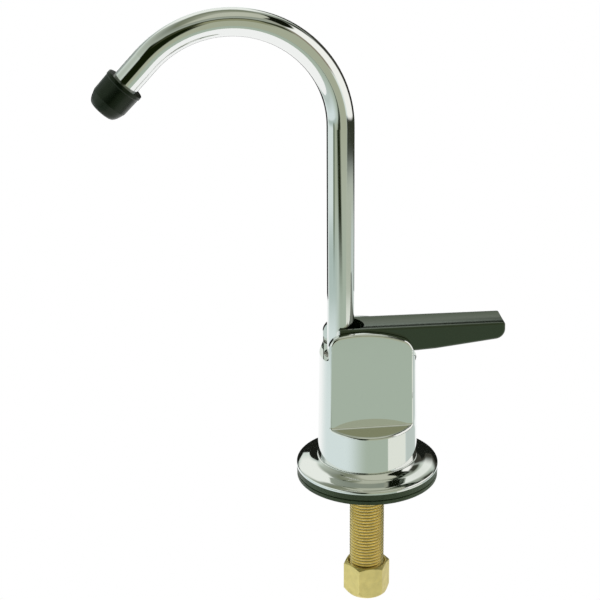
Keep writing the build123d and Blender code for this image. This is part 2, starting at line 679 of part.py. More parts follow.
# Side view of the lever, from the fork's tips round the finger end to the hub
def lever_side_view():
    tip_x = SPOUT_X - LEVER_TIP_AHEAD
    hub_z = PIVOT_Z - HUB_R
    end_z = PIVOT_Z + LEVER_TOP_H_END
    belly_x = LEVER_HEEL_X + LEVER_BELLY_RUN
    corners = [
        (tip_x, PIVOT_Z + LEVER_TOP_H_TIP),
        (LEVER_END_X, end_z),
        (LEVER_END_X + LEVER_END_LEAN, end_z - LEVER_END_DEPTH),
        (belly_x, hub_z + LEVER_BELLY_H),
        (LEVER_HEEL_X, hub_z),
        (SPOUT_X, hub_z),
        (SPOUT_X, PIVOT_Z),
        (tip_x, PIVOT_Z),
    ]
    face = make_face(Plane.XZ * Polyline(*corners, close=True))
    low_end = face.vertices().sort_by(Axis.X)[-1]
    face = fillet(low_end, LEVER_END_CORNER_R)
    hub = Plane.XZ * Pos(SPOUT_X, PIVOT_Z) * Circle(HUB_R)
    return extrude(face + hub, LEVER_HALF_AT_PIVOT + OVERRUN, both=True)


# Plan view of the lever, narrowing a little towards the finger end
def lever_plan_view():
    back_x = SPOUT_X - HUB_R - OVERRUN
    front_x = LEVER_END_X + LEVER_END_LEAN + OVERRUN
    corners = [
        (back_x, -LEVER_HALF_AT_PIVOT),
        (front_x, -LEVER_HALF_AT_END),
        (front_x, LEVER_HALF_AT_END),
        (back_x, LEVER_HALF_AT_PIVOT),
    ]
    face = make_face(Polyline(*corners, close=True))
    low = PIVOT_Z - HUB_R - OVERRUN
    high = PIVOT_Z + LEVER_TOP_H_TIP + OVERRUN
    return Pos(0, 0, low) * extrude(face, high - low)


# The shallow channel along the lever's top, which runs out at the finger end
def finger_channel():
    start = (SPOUT_X - LEVER_TIP_AHEAD, PIVOT_Z + LEVER_TOP_H_TIP)
    end = (LEVER_END_X, PIVOT_Z + LEVER_TOP_H_END)
    along = Plane.XZ * Line(start, end)
    axis = Plane(origin=along @ 0, x_dir=(0, 1, 0), z_dir=along % 0)
    lift = axis.y_dir * math.copysign(LEVER_DISH_R - LEVER_DISH_DEPTH, axis.y_dir.Z)
    section = Plane(origin=axis.origin + lift - axis.z_dir * OVERRUN, z_dir=axis.z_dir) * Circle(LEVER_DISH_R)
    return extrude(section, along.length + OVERRUN * 2)


# The moulded lever: fork arms with trunnions, a pocket with the cam rib that
# pushes the stem, and a cored underside with cross ribs
def lever():
    solid = lever_side_view() & lever_plan_view()
    long_edges = [
        e for e in solid.edges().filter_by(GeomType.LINE)
        if e.length > LEVER_END_X and e.center().Z > PIVOT_Z
    ]
    solid = fillet(long_edges, LEVER_TOP_EDGE_R)
    low_edges = [
        e for e in solid.edges()
        if abs(e.center().Y) > FORK_HALF_GAP and e.center().X > LEVER_HEEL_X and e.center().Z < PIVOT_Z
    ]
    solid = fillet(low_edges, LEVER_LOW_EDGE_R)

    solid -= finger_channel()
    low = PIVOT_Z - HUB_R - OVERRUN
    high = PIVOT_Z + LEVER_TOP_H_TIP + OVERRUN
    round_x = SPOUT_X + FORK_APEX_BEHIND - FORK_HALF_GAP
    fork_y = (-FORK_HALF_GAP, FORK_HALF_GAP)
    solid -= post(FORK_HALF_GAP, low, high, round_x)
    solid -= block((SPOUT_X - HUB_R - OVERRUN, round_x), fork_y, (low, high))

    ceiling = PIVOT_Z + CAM_POCKET_ABOVE_PIVOT
    pocket_x = (VALVE_X - CAM_POCKET_BEHIND, VALVE_X + CAM_POCKET_AHEAD)
    solid -= block(pocket_x, (-CAM_POCKET_HALF_Y, CAM_POCKET_HALF_Y), (low, ceiling))
    cam = Rot(90, 0, 0) * Cylinder(CAM_R, CAM_POCKET_HALF_Y * 2)
    solid += Pos(VALVE_X, 0, PIVOT_Z) * cam

    for side in (1, -1):
        pin = post(TRUNNION_R, 0, TRUNNION_OUT + STATIC_GAP)
        place = Pos(SPOUT_X, side * (LEVER_HALF_AT_PIVOT - STATIC_GAP), PIVOT_Z)
        solid += place * Rot(-side * 90, 0, 0) * pin

    roof_drop = (LEVER_TOP_H_TIP - LEVER_TOP_H_END) / LEVER_LENGTH
    half_y = LEVER_HALF_AT_END - CORE_WALL
    for cell in range(CORE_CELLS):
        start = LEVER_HEEL_X + CORE_START + cell * (CORE_CELL_LENGTH + CORE_RIB)
        stop = start + CORE_CELL_LENGTH
        roof = PIVOT_Z + LEVER_TOP_H_TIP - CORE_ROOF - roof_drop * (stop - SPOUT_X)
        solid -= block((start, stop), (-half_y, half_y), (low, roof))
    return solid


pieces = {
    "body": body(),
    "escutcheon": escutcheon(),
    "base_gasket": base_gasket(),
    "shank": shank(),
    "shank_o_ring": shank_o_ring(),
    "compression_nut": compression_nut(),
    "compression_ferrule": compression_ferrule(),
    "spout_tube": spout_tube(),
    "spout_tip": spout_tip(),
    "spout_journal": spout_journal(),
    "spout_o_ring_lower": spout_o_ring(0),
    "spout_o_ring_upper": spout_o_ring(1),
    "spout_bushing": spout_bushing(),
    "spout_retaining_ring": spout_retaining_ring(),
    "valve_bonnet": valve_bonnet(),
    "bonnet_o_ring_lower": bonnet_o_ring(0),
    "bonnet_o_ring_upper": bonnet_o_ring(1),
    "stem_o_ring": stem_o_ring(),
    "valve_stem": valve_stem(),
    "stem_cap": stem_cap(),
    "valve_washer": valve_washer(),
    "washer_cup": washer_cup(),
    "washer_screw": washer_screw(),
    "return_spring": return_spring(),
    "lever": lever(),
}

os.makedirs("parts", exist_ok=True)
for name, piece in pieces.items():
    piece.label = name
    export_step(piece, f"parts/{name}.step")
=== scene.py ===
import math

import bmesh
import bpy
from mathutils import Matrix, Vector


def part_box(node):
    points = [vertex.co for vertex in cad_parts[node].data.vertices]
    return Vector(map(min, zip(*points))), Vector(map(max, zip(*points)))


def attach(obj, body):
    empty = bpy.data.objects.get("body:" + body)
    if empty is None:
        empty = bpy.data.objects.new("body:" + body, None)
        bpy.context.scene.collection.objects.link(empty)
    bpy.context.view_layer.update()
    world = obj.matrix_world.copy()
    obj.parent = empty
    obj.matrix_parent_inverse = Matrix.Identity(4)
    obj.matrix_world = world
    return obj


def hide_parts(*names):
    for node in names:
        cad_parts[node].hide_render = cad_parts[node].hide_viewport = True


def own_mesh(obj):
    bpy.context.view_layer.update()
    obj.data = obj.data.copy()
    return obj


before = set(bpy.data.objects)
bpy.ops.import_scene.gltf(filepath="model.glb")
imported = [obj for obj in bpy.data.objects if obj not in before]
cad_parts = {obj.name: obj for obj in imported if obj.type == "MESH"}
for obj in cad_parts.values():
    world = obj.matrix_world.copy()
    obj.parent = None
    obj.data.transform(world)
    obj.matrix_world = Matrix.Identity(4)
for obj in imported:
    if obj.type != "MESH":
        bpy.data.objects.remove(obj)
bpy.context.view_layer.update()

bl_info = {
    "name": "Drinking Water Tap",
    "version": (1, 0, 0),
    "blender": (4, 5, 0),
    "location": "3D View > Sidebar > Tap",
    "description": "Finishes and threads the drinking water tap, and sets its studio",
    "category": "Object",
}

MM = 0.001
INCH = 25.4 * MM

# Points nearer than this are merged, and the thread's, whose turns meet less closely
WELD = 0.001 * MM
THREAD_WELD = 0.002 * MM

# Edges that turn less than this are shaded as one smooth surface
SMOOTH_ANGLE = math.radians(25)

# The nodes that share a finish
CHROMED = ("body", "spout_tube")
RUBBER_RINGS = (
    "shank_o_ring",
    "spout_o_ring_lower",
    "spout_o_ring_upper",
    "bonnet_o_ring_lower",
    "bonnet_o_ring_upper",
    "stem_o_ring",
    "valve_washer",
)
TURNED_BRASS = (
    "compression_ferrule",
    "spout_journal",
    "valve_bonnet",
    "valve_stem",
    "washer_cup",
    "washer_screw",
)
ACETAL = ("spout_bushing", "stem_cap")

# The camera: where it looks, from how far, at which angles and through which lens
AIM = Vector((-20.94, 2.61, 59.95)) * MM
CAMERA_DISTANCE = 600.0 * MM
CAMERA_ELEVATION = math.radians(22.434)
CAMERA_AZIMUTH = math.radians(-7.106)
CAMERA_ROLL = math.radians(-0.484)
LENS_MM = 116.24
SENSOR_MM = 36.0
CAMERA_NEAR = 10 * MM
CAMERA_FAR = 20.0

# The cast that the black plastic and rubber give their reflections
GREEN_SHEEN = "#E6FBDA"

# How much paler rubber is in its bloom, how much darker brass is where it is
# tarnished, and how dark the painted shade in a thread's roots is
BLOOM_SHARE = 1.5
TARNISH_SHARE = 0.85
ROOT_SHADE_SHARE = 0.45

# A noise seldom leaves this range
NOISE_LOW = 0.3
NOISE_HIGH = 0.7

# Steps round a turned piece and round each of its corners
TURNED_STEPS = 180
CORNER_STEPS = 6

# Half outlines, as radius and height in mm, with the round at each corner.
# The escutcheon is one pressed sheet: a flat pad, a steep shoulder at the body's
# foot that runs hollow into a wide flange, and a turned-down lip
ESCUTCHEON = (
    (5.9, 7.15, 0),
    (15.95, 7.15, 0.25),
    (17.5, 5.75, 1.3),
    (21.6, 4.95, 0.9),
    (22.6, 4.35, 0.45),
    (22.6, 3.5, 0),
    (21.9, 3.5, 0),
    (21.9, 3.95, 0.3),
    (21.3, 4.25, 0.4),
    (17.1, 5.05, 0.9),
    (15.6, 6.35, 0.2),
    (5.9, 6.35, 0),
)

# The rubber tip, along its own axis from its lip to its mouth: a lip, a side that
# narrows a little, a crease and a conical nose round the water outlet
TIP = (
    (2.7, 7.0, 0),
    (4.23, 7.0, 0),
    (4.23, 0, 0),
    (6.1, 0, 0.2),
    (6.15, 1.2, 0.12),
    (5.95, 1.35, 0.1),
    (5.8, 7.2, 0.12),
    (4.9, 9.75, 0.7),
    (4.0, 10.8, 0.5),
    (3.0, 10.85, 0.15),
    (2.7, 10.6, 0),
)
TIP_TOP = Vector((-71.93, 0, 132.32)) * MM
TIP_LEAN = math.radians(137.1)

# The thread's form as shares of its pitch, and the steps in one turn of it
THREADS_PER_INCH = 24
ROOT_SHARE = 0.25
FLANK_SHARE = 0.3125
CREST_SHARE = 0.125
THREAD_STEPS = 48

# The shank's inside: the ferrule's cone, the tube socket and the waterway
BORE_STEPS = 64
CONE_MOUTH_R = 4.6 * MM
CONE_DEPTH = 1.35 * MM
SOCKET_R = 3.25 * MM
SOCKET_DEPTH = 6.0 * MM
WATERWAY_R = 2.9 * MM

# What the chrome sees of the studio at each elevation, in degrees
SKY_RAMP = (
    (-90, "#FEFEFE"),
    (-60, "#F2F9FB"),
    (-50, "#E6EFF0"),
    (-42, "#CBD7D3"),
    (-35, "#BFCBC6"),
    (-27, "#DDE9E9"),
    (-18, "#E0EAE8"),
    (6, "#EAF1EC"),
    (24, "#D9E2DA"),
    (34, "#B6BFB3"),
    (44, "#A6ADA0"),
    (54, "#8F968A"),
    (62, "#7B816D"),
    (72, "#8C917E"),
    (90, "#AEB1A0"),
)

# What stands round the studio: azimuth from the front, rightwards, elevation,
# the softness of the edges across and up, in degrees, the colour, and how far the
# middle leans to the right and each side flares out for a degree of height
PANELS = (
    ("rear_wall", (150, 212), (24, 52), (16, 6), "#F3F6F0", 0, 0),
    ("rear_floor", (128, 224), (-75, -20), (44, 5), "#FEFFFF", 0, 0),
    ("rear_left_drape", (-162, -120), (-6, 22), (16, 10), "#9FA8A3", 0, 0),
    ("ceiling", (-50, 122), (57, 120), (40, 8), "#BFC2B1", 0, 0),
    ("left_rail", (-125, -35), (-22.8, -20.2), (24, 1.6), "#B4C4BE", 0, 0),
    ("front_left_wall", (-60, -10), (-20.5, -12), (6, 3), "#A9B19B", 0, 0),
    ("left_post", (-72, -58), (-21, -14), (8, 2), "#6C7963", 0, 0),
    ("front_floor", (-34, 66), (-46, -18), (58, 8), "#ADBAAB", 0, 0),
    ("front_wall", (-16, 46), (-20, 31), (8, 6), "#ACB19B", 0, 0),
    ("front_dark", (-44, -5), (-15, 40), (6, 6), "#121907", -0.24, 0.5),
    ("front_dark_foot", (-38, -12), (-21.3, -13.5), (12, 3), "#1C2410", -4.5, 0),
    ("front_arch", (-44, 50), (30, 42), (10, 5), "#3A3F2A", 0, 0),
    ("front_ledge", (-8, 24), (22, 36), (6, 3), "#8F9174", 0, 0),
    ("right_brown", (45, 60), (6, 38), (4, 6), "#8F8876", 0, 0),
    ("right_softbox", (57, 117), (-14, 45), (5, 2), "#FFFEFA", 0, 0),
    ("softbox_cap", (44, 57), (42, 54), (8, 4), "#A3A595", 0, 0),
    ("overhead_flag", (58, 128), (46, 61), (8, 2), "#10140A", 0, 0),
    ("right_dark", (117, 166), (-20, 26), (8, 8), "#3F3F38", 0, 0),
    ("right_dark_foot", (117, 166), (-16, 0), (8, 8), "#2A2622", 0, 0),
    ("right_curtain", (114, 138), (28, 45), (10, 8), "#3A3D33", 0, 0),
    ("right_skirting", (47, 165), (-19, -13), (5, 2.5), "#34382D", 0, 0),
    ("right_rail", (40, 120), (-23, -18.8), (2, 1.5), "#B6BDAD", 0, 0),
    ("right_floor", (40, 92), (-44, -22.5), (2, 1), "#EAEDE4", 0, 0),
    ("right_far_floor", (92, 140), (-32, -20), (8, 2), "#C3CDC8", 0, 0),
)

# The black card behind the tap, seen only in its reflections: its azimuths in
# degrees, and the radius and the heights at which it stands
CARD_ACROSS = (140, 225)
CARD_R = 300 * MM
CARD_LOW = -60 * MM
CARD_HIGH = 112 * MM
CARD_STEPS = 180
CARD_BLACK = "#0C0F08"

# The softboxes: azimuth and elevation in degrees, side in metres and power in watts
LAMPS = (
    ("right_softbox", 80, 25, 0.5, 4.0),
    ("left_softbox", -95, 30, 0.6, 3.0),
    ("overhead_softbox", -20, 72, 0.6, 3.0),
)
LAMP_DISTANCE = 1.0

# The floor, so far under the tap that its shadow is soft
FLOOR_R = 620 * MM
FLOOR_LEVEL = -360 * MM
FLOOR_STEPS = 96

# How dull paper is, and the plain white that the camera sees
PAPER_ROUGH = 0.9
WHITE = (1.0, 1.0, 1.0, 1.0)


# An sRGB hex colour as linear red, green and blue
def linear(colour):
    parts = [int(colour[i:i + 2], 16) / 255 for i in (1, 3, 5)]
    return [p / 12.92 if p <= 0.04045 else ((p + 0.055) / 1.055) ** 2.4 for p in parts]


def rgba(colour):
    return (*linear(colour), 1.0)


# Adds a node with its settings, its input values and the links into it
def add_node(tree, kind, settings=None, values=None, links=None):
    node = tree.nodes.new(kind)
    for name, value in (settings or {}).items():
        setattr(node, name, value)
    for name, value in (values or {}).items():
        node.inputs[name].default_value = value
    for name, source in (links or {}).items():
        tree.links.new(source, node.inputs[name])
    return node


def new_material(name):
    material = bpy.data.materials.new(name)
    material.use_nodes = True
    tree = material.node_tree
    tree.nodes.clear()
    output = add_node(tree, "ShaderNodeOutputMaterial")
    place = add_node(tree, "ShaderNodeTexCoord")
    return material, tree, output, place.outputs["Object"]


# A noise whose largest grain is a real size in millimetres
def grain(tree, place, size_mm, detail=2.0):
    return add_node(
        tree, "ShaderNodeTexNoise",
        values={"Scale": 1 / (size_mm * MM), "Detail": detail, "Roughness": 0.5},
        links={"Vector": place},
    ).outputs["Fac"]


# A noise stretched over a range of its own
def spread(tree, source, low, high):
    return add_node(
        tree, "ShaderNodeMapRange",
        values={"From Min": NOISE_LOW, "From Max": NOISE_HIGH, "To Min": low, "To Max": high},
        links={"Value": source},
    ).outputs["Result"]


# The normals of a surface that a pattern raises by a real depth
def bumped(tree, source, depth_mm, strength):
    return add_node(
        tree, "ShaderNodeBump",
        values={"Strength": strength, "Distance": depth_mm * MM},
        links={"Height": source},
    ).outputs["Normal"]


# A colour lightened or darkened by a share, ready for a socket
def shade(colour, share=1.0):
    return (*[part * share for part in colour], 1.0)


# A colour that runs in patches into a lighter or darker share of itself
def mottled(tree, patches, colour, share):
    tone = add_node(
        tree, "ShaderNodeMix", settings={"data_type": "RGBA"},
        links={"Factor": spread(tree, patches, low=0.0, high=1.0)},
    )
    tone.inputs["A"].default_value = shade(colour)
    tone.inputs["B"].default_value = shade(colour, share)
    return tone.outputs["Result"]


# Bright chrome over polished nickel: a near perfect mirror, whose edges of light
# are softened by a trace of haze and bent by the polisher's slight waves
def chrome_plate(colour):
    material, tree, output, place = new_material("bright_chrome_plate")
    haze = spread(tree, grain(tree, place, size_mm=9.0, detail=3.0), low=0.035, high=0.065)
    ripple = bumped(tree, grain(tree, place, size_mm=4.0), depth_mm=0.004, strength=0.25)
    shader = add_node(
        tree, "ShaderNodeBsdfPrincipled",
        values={"Base Color": shade(colour), "Metallic": 1.0},
        links={"Roughness": haze, "Normal": ripple},
    )
    tree.links.new(shader.outputs[0], output.inputs["Surface"])
    return material


# Compression-moulded EPDM rubber: deep black-green and dull, with the skin that a
# blasted mould leaves, drawn coarser than it is so that it shows, and paler bloom in
# faint patches
def moulded_rubber(name, colour, rough, skin_mm, sheen=0.5):
    material, tree, output, place = new_material(name)
    skin = grain(tree, place, skin_mm, detail=4.0)
    tone = mottled(tree, grain(tree, place, size_mm=3.0, detail=3.0), colour, BLOOM_SHARE)
    shader = add_node(
        tree, "ShaderNodeBsdfPrincipled",
        values={"IOR": 1.52, "Specular IOR Level": sheen, "Specular Tint": rgba(GREEN_SHEEN)},
        links={
            "Base Color": tone,
            "Roughness": spread(tree, skin, *rough),
            "Normal": bumped(tree, skin, depth_mm=0.02, strength=0.5),
        },
    )
    tree.links.new(shader.outputs[0], output.inputs["Surface"])
    return material


# Injection-moulded ABS from a polished mould: black with a wet gloss, over the
# faint waves of cooling and a haze of handling that breaks the highlights
def glossy_abs(colour):
    material, tree, output, place = new_material("moulded_black_abs")
    wave = grain(tree, place, size_mm=6.0)
    touch = grain(tree, place, size_mm=1.2, detail=4.0)
    shader = add_node(
        tree, "ShaderNodeBsdfPrincipled",
        values={
            "Base Color": shade(colour),
            "IOR": 1.54,
            "Specular IOR Level": 1.0,
            "Specular Tint": rgba(GREEN_SHEEN),
        },
        links={
            "Roughness": spread(tree, touch, low=0.12, high=0.2),
            "Normal": bumped(tree, wave, depth_mm=0.02, strength=0.4),
        },
    )
    tree.links.new(shader.outputs[0], output.inputs["Surface"])
    return material


# Brass, turned or forged: yellow metal with patches of duller tarnish, and the marks
# of its tools, drawn coarser than they are so that they show. For a thread, painted
# shade darkens the roots and fades out between the two radii that it is given
def brass(name, colour, rough, mark_mm, shaded_root_radii=None):
    material, tree, output, place = new_material(name)
    metal = mottled(tree, grain(tree, place, size_mm=2.5, detail=4.0), colour, TARNISH_SHARE)
    if shaded_root_radii:
        # Painted shade: the base colour darkens in the thread's roots and fades out by the second
        # radius
        flat = add_node(
            tree, "ShaderNodeVectorMath", settings={"operation": "MULTIPLY"},
            values={1: (1.0, 1.0, 0.0)}, links={0: place},
        )
        reach = add_node(
            tree, "ShaderNodeVectorMath", settings={"operation": "LENGTH"},
            links={0: flat.outputs["Vector"]},
        )
        root_shade_fade = add_node(
            tree, "ShaderNodeMapRange",
            values={"From Min": shaded_root_radii[0], "From Max": shaded_root_radii[1], "To Min": 0.0, "To Max": 1.0},
            links={"Value": reach.outputs["Value"]},
        )
        depth = add_node(
            tree, "ShaderNodeMix", settings={"data_type": "RGBA"},
            links={"Factor": root_shade_fade.outputs["Result"], "B": metal},
        )
        depth.inputs["A"].default_value = shade(colour, ROOT_SHADE_SHARE)
        metal = depth.outputs["Result"]
    marks = grain(tree, place, mark_mm, detail=5.0)
    shader = add_node(
        tree, "ShaderNodeBsdfPrincipled",
        values={"Metallic": 1.0},
        links={
            "Base Color": metal,
            "Roughness": spread(tree, marks, *rough),
            "Normal": bumped(tree, marks, depth_mm=0.015, strength=0.4),
        },
    )
    tree.links.new(shader.outputs[0], output.inputs["Surface"])
    return material


# Drawn stainless wire and strip: a cool grey metal with the soft shine that its die
# leaves, whose marks are drawn coarser than they are
def spring_wire(colour):
    material, tree, output, place = new_material("drawn_stainless_steel")
    draw = grain(tree, place, size_mm=0.4, detail=3.0)
    shader = add_node(
        tree, "ShaderNodeBsdfPrincipled",
        values={"Base Color": shade(colour), "Metallic": 1.0},
        links={"Roughness": spread(tree, draw, low=0.22, high=0.38)},
    )
    tree.links.new(shader.outputs[0], output.inputs["Surface"])
    return material


# Machined natural acetal: milky white and waxy, with a satin shine broken by the
# tool's marks, which are drawn coarser than they are
def natural_acetal(colour):
    material, tree, output, place = new_material("machined_natural_acetal")
    cut = grain(tree, place, size_mm=0.5, detail=3.0)
    shader = add_node(
        tree, "ShaderNodeBsdfPrincipled",
        values={"Base Color": shade(colour), "IOR": 1.48},
        links={"Roughness": spread(tree, cut, low=0.38, high=0.52)},
    )
    tree.links.new(shader.outputs[0], output.inputs["Surface"])
    return material


# Gives a CAD node its finish
def dress(node, material):
    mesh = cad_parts[node].data
    mesh.materials.clear()
    mesh.materials.append(material)


# A colour that a user can set
def hue(name, description, default):
    return bpy.props.FloatVectorProperty(
        name=name, description=description, default=linear(default),
        subtype="COLOR", min=0.0, max=1.0,
    )


class TapSizes(bpy.types.PropertyGroup):
    thread_pitch: bpy.props.FloatProperty(
        name="Thread pitch", description="Distance from crest to crest of the shank's thread",
        default=INCH / THREADS_PER_INCH, subtype="DISTANCE", unit="LENGTH",
    )
    thread_depth: bpy.props.FloatProperty(
        name="Thread depth", description="Depth of the shank's thread from crest to root",
        default=0.62 * MM, subtype="DISTANCE", unit="LENGTH",
    )


class TapFinishes(bpy.types.PropertyGroup):
    chrome: hue("Chrome", "Tint of the chrome plate", "#EEF0EE")
    gasket: hue("Gasket", "Colour of the rubber under the escutcheon", "#263120")
    tip: hue("Spout tip", "Colour of the rubber tip", "#070E06")
    seals: hue("Seals", "Colour of the sealing rings and the valve washer", "#161716")
    lever: hue("Lever", "Colour of the press lever's plastic", "#0B1408")
    nut: hue("Nut", "Colour of the compression nut's brass", "#F2E297")
    thread: hue("Thread", "Colour of the shank's brass", "#FFEBA4")
    turned: hue("Turned brass", "Colour of the brass parts inside", "#DDBB68")
    steel: hue("Spring steel", "Colour of the spring and the retaining ring", "#C9C8C4")
    acetal: hue("Acetal", "Colour of the bushing and the stem cap", "#E6E5DE")
    floor: hue("Floor", "Colour of the studio floor", "#F2F3F1")


# Works on one object at a time, with everything else deselected
def pick(piece):
    bpy.ops.object.select_all(action="DESELECT")
    piece.select_set(True)
    bpy.context.view_layer.objects.active = piece


# Merges the selected points that lie together
def weld(gap=WELD):
    bpy.ops.mesh.select_all(action="SELECT")
    bpy.ops.mesh.remove_doubles(threshold=gap)


# Extrudes a line of edges in the XZ plane from a single point
def draw_line(name, points):
    bpy.ops.object.select_all(action="DESELECT")
    start = points[0]
    bpy.ops.mesh.primitive_plane_add(size=MM, location=(start[0], 0, start[1]))
    piece = bpy.context.object
    piece.name = name
    bpy.ops.object.transform_apply()
    bpy.ops.object.mode_set(mode="EDIT")
    bpy.ops.mesh.merge(type="CENTER")
    for here, there in zip(points, points[1:]):
        bpy.ops.mesh.extrude_vertices_move(
            TRANSFORM_OT_translate={"value": (there[0] - here[0], 0, there[1] - here[1])},
        )
    return piece


# Spins a closed half outline round the Z axis, with its corners rounded first
def turned(name, outline):
    points = [(radius * MM, height * MM) for radius, height, corner in outline]
    piece = draw_line(name, points + points[:1])
    weld()
    for (radius, height), (_, _, corner) in zip(points, outline):
        if not corner:
            continue
        mesh = bmesh.from_edit_mesh(piece.data)
        for vert in mesh.verts:
            vert.select_set((vert.co - Vector((radius, 0, height))).length < WELD)
        mesh.select_flush(True)
        bmesh.update_edit_mesh(piece.data)
        bpy.ops.mesh.bevel(offset=corner * MM, segments=CORNER_STEPS, affect="VERTICES")
    bpy.ops.mesh.select_all(action="SELECT")
    bpy.ops.mesh.spin(steps=TURNED_STEPS, angle=math.tau, center=(0, 0, 0), axis=(0, 0, 1))
    weld()
    bpy.ops.mesh.normals_make_consistent(inside=False)
    return piece


# Ends the work on a piece: its finish, and the CAD node that it stands for
def settle(piece, material, node, mover):
    bpy.ops.object.mode_set(mode="OBJECT")
    piece.data.materials.clear()
    piece.data.materials.append(material)
    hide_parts(node)
    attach(piece, mover)


class TAP_OT_chrome(bpy.types.Operator):
    """Finishes the body and the spout in chrome plate and turns the escutcheon"""
    bl_idname = "tap.chrome"
    bl_label = "Chrome Parts"

    def execute(self, context):
        plate = chrome_plate(context.scene.tap_finishes.chrome)
        for node in CHROMED:
            dress(node, plate)
        dish = turned("pressed_escutcheon", ESCUTCHEON)
        settle(dish, plate, "escutcheon", "base")
        bpy.ops.object.shade_smooth_by_angle(angle=SMOOTH_ANGLE)
        return {"FINISHED"}


class TAP_OT_rubber(bpy.types.Operator):
    """Turns the spout's rubber tip and finishes the base gasket and the seals in rubber"""
    bl_idname = "tap.rubber"
    bl_label = "Rubber Parts"

    def execute(self, context):
        finishes = context.scene.tap_finishes
        dress("base_gasket", moulded_rubber(
            "moulded_gasket_rubber", finishes.gasket, rough=(0.36, 0.5), skin_mm=0.35,
        ))
        seal = moulded_rubber("moulded_seal_rubber", finishes.seals, rough=(0.4, 0.5), skin_mm=0.2)
        for node in RUBBER_RINGS:
            dress(node, seal)

        tip = turned("moulded_spout_tip", TIP)
        bpy.ops.transform.rotate(value=TIP_LEAN, orient_axis="Y", center_override=(0, 0, 0))
        bpy.ops.transform.translate(value=TIP_TOP)
        rubber = moulded_rubber(
            "moulded_tip_rubber", finishes.tip, rough=(0.2, 0.32), skin_mm=0.3, sheen=0.3,
        )
        settle(tip, rubber, "spout_tip", "spout")
        bpy.ops.object.shade_smooth_by_angle(angle=SMOOTH_ANGLE)
        return {"FINISHED"}


class TAP_OT_lever(bpy.types.Operator):
    """Finishes the press lever in glossy black plastic"""
    bl_idname = "tap.lever"
    bl_label = "Lever"

    def execute(self, context):
        dress("lever", glossy_abs(context.scene.tap_finishes.lever))
        return {"FINISHED"}


class TAP_OT_brass(bpy.types.Operator):
    """Finishes the nut and the inner brass parts"""
    bl_idname = "tap.brass"
    bl_label = "Brass Parts"

    def execute(self, context):
        finishes = context.scene.tap_finishes
        forged = brass("forged_nut_brass", finishes.nut, rough=(0.4, 0.56), mark_mm=0.5)
        dress("compression_nut", forged)
        inner = brass("turned_brass", finishes.turned, rough=(0.2, 0.34), mark_mm=0.4)
        for node in TURNED_BRASS:
            dress(node, inner)
        return {"FINISHED"}


class TAP_OT_inner(bpy.types.Operator):
    """Makes a welded copy of the spring, and finishes the other small inner parts"""
    bl_idname = "tap.inner"
    bl_label = "Inner Parts"

    def execute(self, context):
        wire = spring_wire(context.scene.tap_finishes.steel)
        acetal = natural_acetal(context.scene.tap_finishes.acetal)
        dress("spout_retaining_ring", wire)
        for node in ACETAL:
            dress(node, acetal)
        self.wind_spring(wire)
        return {"FINISHED"}

    # A welded copy of the spring that stands on the bonnet, finished in wire and hung on the base
    def wind_spring(self, wire):
        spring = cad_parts["return_spring"].copy()
        spring.data = spring.data.copy()
        spring.name = "wound_return_spring"
        bpy.context.scene.collection.objects.link(spring)
        pick(spring)
        bpy.ops.object.mode_set(mode="EDIT")
        weld()
        settle(spring, wire, "return_spring", "base")
        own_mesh(spring)


